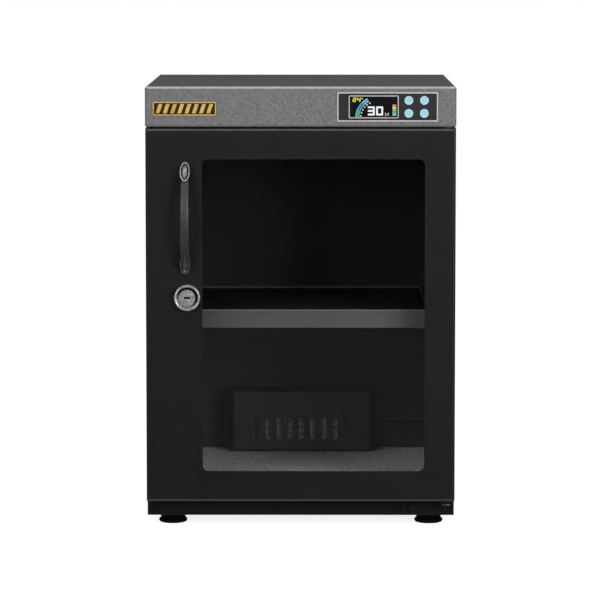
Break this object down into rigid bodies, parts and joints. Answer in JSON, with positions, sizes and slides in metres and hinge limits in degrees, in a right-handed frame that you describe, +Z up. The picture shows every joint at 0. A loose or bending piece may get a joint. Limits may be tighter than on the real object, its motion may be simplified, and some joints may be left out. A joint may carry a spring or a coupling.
{
  "type": "camera dry cabinet",
  "caption": "Steel storage cabinet with a lockable glazed door, sliding shelf, display head and a drying unit that keeps cameras and lenses at a set humidity.",
  "frame": {"origin": "centre of the whole part's box, at the level of the feet's soles", "axes": "+Z up, front towards -Y, hinge side of the door towards +X"},
  "size_m": [0.31, 0.361, 0.445],
  "materials": {
    "head_paint": "textured grey powder coat",
    "body_paint": "fine textured black powder coat",
    "door_paint": "smooth semi-gloss black paint",
    "shelf_paint": "satin grey powder coat",
    "rail_paint": "black powder coat",
    "zinc_steel": "zinc plated",
    "black_steel": "black oxide",
    "lock_chrome": "bright chrome with fine handling marks",
    "trim_chrome": "bright chrome",
    "handle_metal": "satin gunmetal lacquer",
    "badge_gold": "polished gold bars on a dark field",
    "rim_silver": "satin silver",
    "panel_black": "gloss black",
    "screen_frame": "satin silver lacquer",
    "screen": "clear front over a colour display",
    "light_box": "white moulded plastic",
    "key_blue": "light blue, soft gloss",
    "board_green": "solder mask",
    "black_plastic": "moulded black, fine texture",
    "foot_rubber": "matte black",
    "seal_rubber": "soft black",
    "clear_glass": "clear float glass",
    "nylon": "black nylon",
    "shelf_foam": "black open-cell foam",
    "floor_foam": "speckled grey foam",
    "desiccant": "perforated desiccant block",
    "heater_metal": "mill finish",
    "actuator_brass": "turned",
    "wire_sleeve": "black sleeving"
  },
  "bodies": {
    "cabinet": {"front_frame": "body_paint", "side_panel_left": "body_paint", "side_panel_right": "body_paint", "floor_panel": "body_paint", "head_deck": "body_paint", "rear_panel": "body_paint", "feet": "foot_rubber", "foot_screws": "zinc_steel", "head_cover": "head_paint", "head_rear_panel": "head_paint", "head_screws": "zinc_steel", "badge_plate": "badge_gold", "display_bezel": "rim_silver", "display_panel": "panel_black", "lcd_frame": "screen_frame", "lcd_screen": "screen", "lcd_backlight": "light_box", "control_board": "board_green", "board_standoffs": "zinc_steel", "key_switches": "black_plastic", "power_board": "board_green", "power_inlet": "black_plastic", "humidity_probe": "black_plastic", "lower_hinge_bracket": "body_paint", "upper_hinge_plate": "black_steel", "hinge_pins": "zinc_steel", "hinge_screws": "black_steel", "strike_plate": "zinc_steel", "strike_rivets": "zinc_steel", "shelf_uprights": "rail_paint", "shelf_rails": "rail_paint", "floor_mat": "floor_foam", "dryer_housing": "black_plastic", "desiccant_pack": "desiccant", "heater_plate": "heater_metal", "shutter_actuator": "actuator_brass", "rear_cowl": "black_plastic", "dryer_screws": "zinc_steel", "wire_loom": "wire_sleeve"},
    "door": {"door_shell": "door_paint", "door_glass": "clear_glass", "glass_seal": "seal_rubber", "door_liner": "door_paint", "door_gasket": "seal_rubber", "hinge_bushes": "nylon", "handle": "handle_metal", "handle_trims": "trim_chrome", "handle_screws": "zinc_steel", "lock_barrel": "lock_chrome", "lock_nut": "zinc_steel"},
    "lock": {"lock_plug": "lock_chrome", "lock_cam": "zinc_steel", "cam_screw": "zinc_steel"},
    "tray": {"shelf_tray": "shelf_paint", "shelf_mat": "shelf_foam"},
    "shutter": {"vent_shutter": "light_box"},
    "key_up": {"button_up": "key_blue"},
    "key_down": {"button_down": "key_blue"},
    "key_mode": {"button_mode": "key_blue"},
    "key_lamp": {"button_lamp": "key_blue"}
  },
  "joints": [
    {"name": "door_swing", "type": "hinge", "parent": "cabinet", "child": "door", "pos_m": [0.1465, -0.1465, 0.216], "axis": [0, 0, 1], "range_deg": [0, 150]},
    {"name": "lock_turn", "type": "hinge", "parent": "door", "child": "lock", "pos_m": [-0.1132, -0.1565, 0.2345], "axis": [0, -1, 0], "range_deg": [0, 90]},
    {"name": "tray_slide", "type": "slide", "parent": "cabinet", "child": "tray", "axis": [0, -1, 0], "range_m": [0, 0.02]},
    {"name": "shutter_slide", "type": "slide", "parent": "cabinet", "child": "shutter", "axis": [1, 0, 0], "range_m": [0, 0.006]},
    {"name": "key_up_press", "type": "slide", "parent": "cabinet", "child": "key_up", "axis": [0, 1, 0], "range_m": [0, 0.0008], "stiffness_N_per_m": 600},
    {"name": "key_down_press", "type": "slide", "parent": "cabinet", "child": "key_down", "axis": [0, 1, 0], "range_m": [0, 0.0008], "stiffness_N_per_m": 600},
    {"name": "key_mode_press", "type": "slide", "parent": "cabinet", "child": "key_mode", "axis": [0, 1, 0], "range_m": [0, 0.0008], "stiffness_N_per_m": 600},
    {"name": "key_lamp_press", "type": "slide", "parent": "cabinet", "child": "key_lamp", "axis": [0, 1, 0], "range_m": [0, 0.0008], "stiffness_N_per_m": 600}
  ]
}
